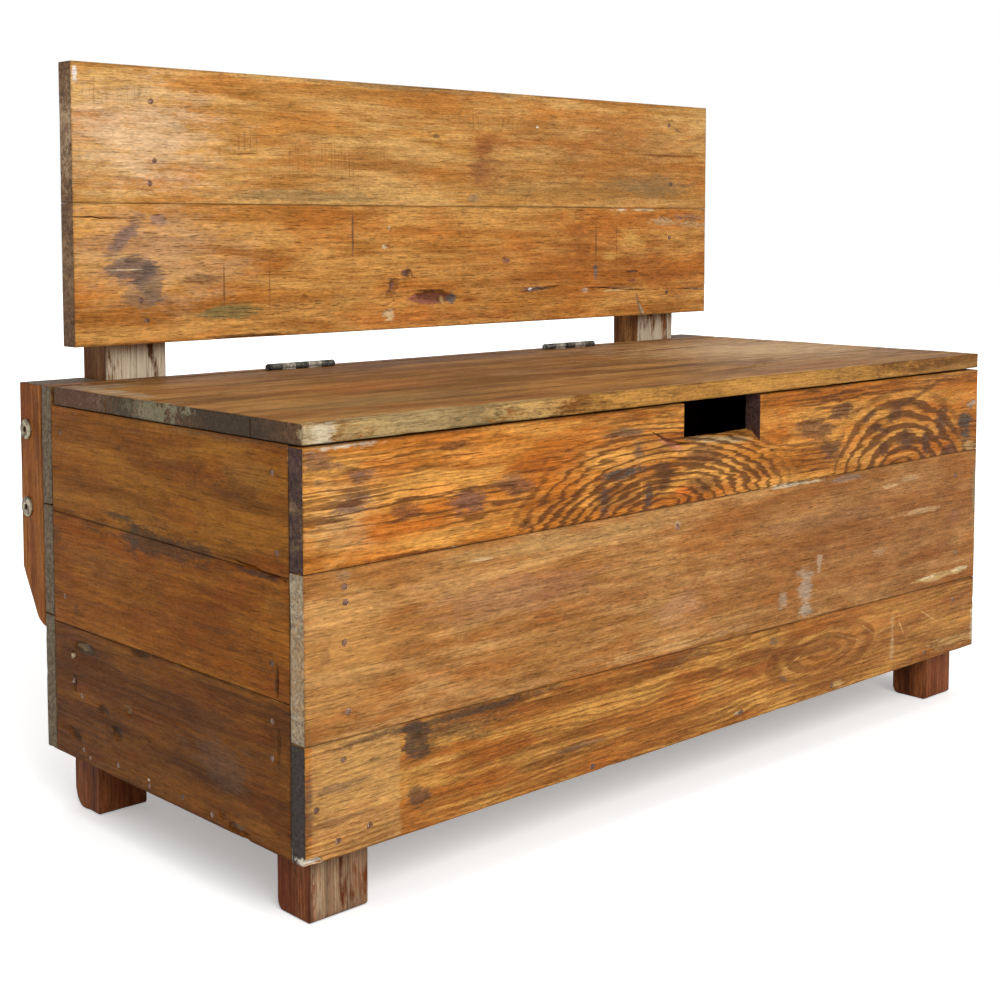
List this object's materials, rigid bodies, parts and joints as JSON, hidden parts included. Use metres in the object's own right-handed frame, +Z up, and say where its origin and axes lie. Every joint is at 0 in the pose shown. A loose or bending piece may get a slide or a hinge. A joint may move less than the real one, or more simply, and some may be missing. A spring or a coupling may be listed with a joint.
{
  "type": "storage bench",
  "caption": "Box settle bench of reclaimed boards with a hinged lid, a hand notch in the front and a bolted backrest.",
  "frame": {"origin": "on the floor, under the middle of the bench's outline", "axes": "+X along the bench, to the right as seen from the front; +Y from front to back; +Z up"},
  "size_m": [0.8644, 0.396, 0.6186],
  "materials": {
    "front_boards": "stained reclaimed softwood, waxed, worn at the edges",
    "side_boards": "stained reclaimed softwood, waxed, darker than the front",
    "back_boards": "stained reclaimed softwood, rougher than the front",
    "lid_boards": "smooth waxed reclaimed board with pale worn edges",
    "posts": "weathered posts, sanded at the feet",
    "floor": "plain sawn boards",
    "battens": "plain planed battens",
    "backrest": "honey-coloured boards with fine saw marks",
    "backrest_posts": "stained posts",
    "hinge_metal": "tarnished brass",
    "bolt_metal": "zinc-plated steel",
    "screw_metal": "plain steel screws",
    "nail_metal": "dark iron nails"
  },
  "bodies": {
    "bench": {"back_board_bottom": "back_boards", "back_board_middle": "back_boards", "back_board_top": "back_boards", "back_nails": "nail_metal", "backrest_board_lower": "backrest", "backrest_board_upper": "backrest", "backrest_nails": "nail_metal", "backrest_post_left": "backrest_posts", "backrest_post_right": "backrest_posts", "barrel_nuts": "bolt_metal", "block_screws": "screw_metal", "connector_bolts": "bolt_metal", "corner_post_front_left": "posts", "corner_post_front_right": "posts", "corner_post_rear_left": "posts", "corner_post_rear_right": "posts", "end_block_left": "backrest_posts", "end_block_right": "backrest_posts", "floor_batten": "battens", "floor_batten_nails": "nail_metal", "floor_board_1": "floor", "floor_board_2": "floor", "floor_board_3": "floor", "floor_board_4": "floor", "floor_nails": "nail_metal", "front_board_bottom": "front_boards", "front_board_middle": "front_boards", "front_board_top": "front_boards", "front_nails": "nail_metal", "hinge_back_leaf_left": "hinge_metal", "hinge_back_leaf_right": "hinge_metal", "hinge_back_screws": "screw_metal", "hinge_pin_left": "hinge_metal", "hinge_pin_right": "hinge_metal", "left_side_board_bottom": "side_boards", "left_side_board_middle": "side_boards", "left_side_board_top": "side_boards", "left_side_nails": "nail_metal", "right_side_board_bottom": "side_boards", "right_side_board_middle": "side_boards", "right_side_board_top": "side_boards", "right_side_nails": "nail_metal"},
    "lid": {"hinge_lid_leaf_left": "hinge_metal", "hinge_lid_leaf_right": "hinge_metal", "hinge_lid_screws": "screw_metal", "lid_batten_left": "battens", "lid_batten_right": "battens", "lid_batten_screws": "screw_metal", "lid_board_front": "lid_boards", "lid_board_middle": "lid_boards", "lid_board_rear": "lid_boards"}
  },
  "joints": [
    {"name": "lid_hinge", "type": "hinge", "parent": "bench", "child": "lid", "pos_m": [0, 0.1415, 0.356], "axis": [-1, 0, 0], "range_deg": [0, 90]}
  ]
}
